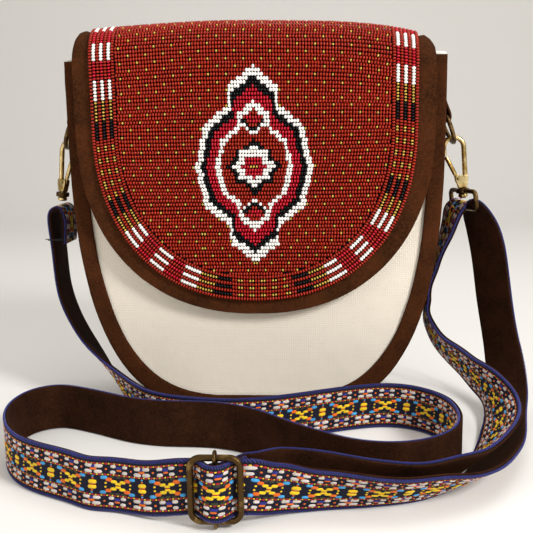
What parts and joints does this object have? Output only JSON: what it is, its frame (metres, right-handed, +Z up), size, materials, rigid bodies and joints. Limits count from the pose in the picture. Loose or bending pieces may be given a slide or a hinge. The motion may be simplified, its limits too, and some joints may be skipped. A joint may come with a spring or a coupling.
{
  "type": "beaded crossbody bag",
  "caption": "Round-bottomed suede crossbody bag with a padded canvas front, a beaded front flap, side rings with snap hooks, and a woven adjustable strap.",
  "frame": {"origin": "middle of the flat foot on which the bag stands, half way through its depth", "axes": "+Z up, the beaded front faces -Y, +X to the viewer's right; the strap lies in front of the bag towards -Y"},
  "size_m": [0.2861, 0.2126, 0.2265],
  "materials": {
    "brown_suede": "napped dark brown suede",
    "strap_suede": "napped dark brown suede backing",
    "natural_canvas": "off-white plain-woven cotton canvas",
    "cotton_lining": "off-white cotton lining and wadding",
    "bead_felt": "dark felt",
    "dark_red_beads": "opaque glossy glass seed beads, dark red with single gold ones",
    "border_beads": "opaque glossy glass seed beads in red, white, green, blue and gold",
    "medallion_beads": "opaque glossy glass seed beads in white, black and bright red",
    "polished_brass": "bright worn brass",
    "antique_brass": "dark antique brass with rubbed edges",
    "woven_webbing": "jacquard-woven multicolour webbing with blue edges",
    "black_thread": "black sewing thread"
  },
  "bodies": {
    "bag": {"back_panel": "brown_suede", "back_binding": "brown_suede", "back_lining": "cotton_lining", "front_panel": "natural_canvas", "front_padding": "cotton_lining", "front_lining": "cotton_lining", "front_binding": "brown_suede", "gusset": "brown_suede", "gusset_lining": "cotton_lining", "snap_socket": "antique_brass", "ring_tab_left": "brown_suede", "ring_tab_right": "brown_suede", "swivel_loop_left": "antique_brass", "swivel_loop_right": "antique_brass", "strap_left_webbing": "woven_webbing", "strap_left_backing": "strap_suede", "strap_adjuster_webbing": "woven_webbing", "strap_adjuster_backing": "strap_suede", "strap_right_webbing": "woven_webbing", "strap_right_backing": "strap_suede", "strap_slack_webbing": "woven_webbing", "strap_slack_backing": "strap_suede", "strap_tack": "black_thread"},
    "flap": {"flap_panel": "brown_suede", "flap_lining": "cotton_lining", "bead_backing": "bead_felt", "bead_border": "border_beads", "bead_field": "dark_red_beads", "bead_medallion": "medallion_beads", "snap_stud": "antique_brass"},
    "ring_left": {"d_ring_left": "antique_brass"},
    "ring_right": {"d_ring_right": "antique_brass"},
    "hook_left": {"hook_body_left": "polished_brass", "gate_pin_left": "antique_brass"},
    "hook_right": {"hook_body_right": "polished_brass", "gate_pin_right": "antique_brass"},
    "gate_left": {"hook_gate_left": "polished_brass"},
    "gate_right": {"hook_gate_right": "polished_brass"},
    "slider": {"slider_frame": "antique_brass", "slider_bar": "antique_brass", "strap_end_webbing": "woven_webbing", "strap_end_backing": "strap_suede"}
  },
  "joints": [
    {"name": "flap_hinge", "type": "hinge", "parent": "bag", "child": "flap", "pos_m": [0, 0.0323, 0.2063], "axis": [-1, 0, 0], "range_deg": [0, 110]},
    {"name": "ring_left_swing", "type": "hinge", "parent": "bag", "child": "ring_left", "pos_m": [-0.11095, 0, 0.172], "axis": [0, -1, 0], "range_deg": [0, 2]},
    {"name": "ring_right_swing", "type": "hinge", "parent": "bag", "child": "ring_right", "pos_m": [0.11095, 0, 0.172], "axis": [0, 1, 0], "range_deg": [-1, 4]},
    {"name": "hook_left_swivel", "type": "hinge", "parent": "bag", "child": "hook_left", "pos_m": [-0.1217, 0, 0.13042], "axis": [0.1045, 0, 0.9945], "range_deg": [0, 60]},
    {"name": "hook_right_swivel", "type": "hinge", "parent": "bag", "child": "hook_right", "pos_m": [0.12301, 0, 0.12995], "axis": [-0.1045, 0, 0.9945], "range_deg": [-15, 15]},
    {"name": "gate_left_pivot", "type": "hinge", "parent": "hook_left", "child": "gate_left", "pos_m": [-0.11919, -0.00161, 0.13598], "axis": [-0.6393, -0.766, 0.0672], "range_deg": [0, 22], "stiffness_Nm_per_rad": 0.01, "springref_deg": -11.46},
    {"name": "gate_right_pivot", "type": "hinge", "parent": "hook_right", "child": "gate_right", "pos_m": [0.11992, 0, 0.13546], "axis": [0, 1, 0], "range_deg": [0, 22], "stiffness_Nm_per_rad": 0.01, "springref_deg": -11.46},
    {"name": "slider_slide", "type": "slide", "parent": "bag", "child": "slider", "axis": [1, 0, 0], "range_m": [-0.008, 0.008], "deforming": ["strap_adjuster_webbing", "strap_adjuster_backing", "strap_slack_webbing", "strap_slack_backing"]}
  ]
}
